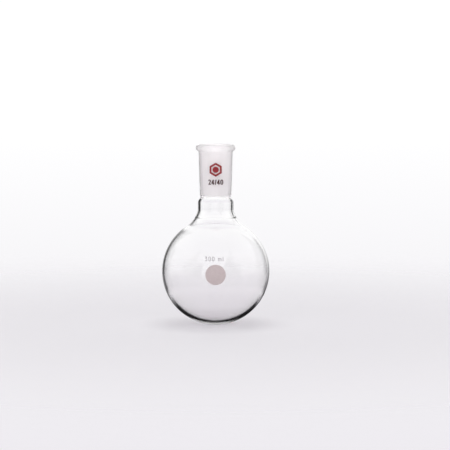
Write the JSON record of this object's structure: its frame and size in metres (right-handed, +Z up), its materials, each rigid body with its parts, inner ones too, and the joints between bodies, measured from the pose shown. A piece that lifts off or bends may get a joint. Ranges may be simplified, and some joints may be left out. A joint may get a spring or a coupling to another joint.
{
  "type": "round bottom flask",
  "caption": "Clear glass round bottom flask with one short neck, a ground taper socket with a beaded rim, and a fired marking spot and size figures.",
  "frame": {"origin": "lowest point of the bulb, on the flask's axis", "axes": "+Z up along the flask's axis towards the mouth; -Y is the front, which carries the spot and the figures"},
  "size_m": [0.088, 0.0881, 0.148],
  "materials": {
    "clear_glass": "clear borosilicate, fire polished",
    "ground_glass": "clear outside, fine ground taper inside",
    "spot_enamel": "fired matt white enamel for pencil",
    "pale_enamel": "fired pale enamel",
    "dark_red_enamel": "fired dark red enamel",
    "red_enamel": "fired red enamel"
  },
  "bodies": {
    "root": {"bulb": "clear_glass", "neck": "clear_glass", "joint_socket": "ground_glass", "marking_spot": "spot_enamel", "capacity_marking": "pale_enamel", "joint_size_marking": "dark_red_enamel", "emblem": "red_enamel"}
  },
  "joints": []
}
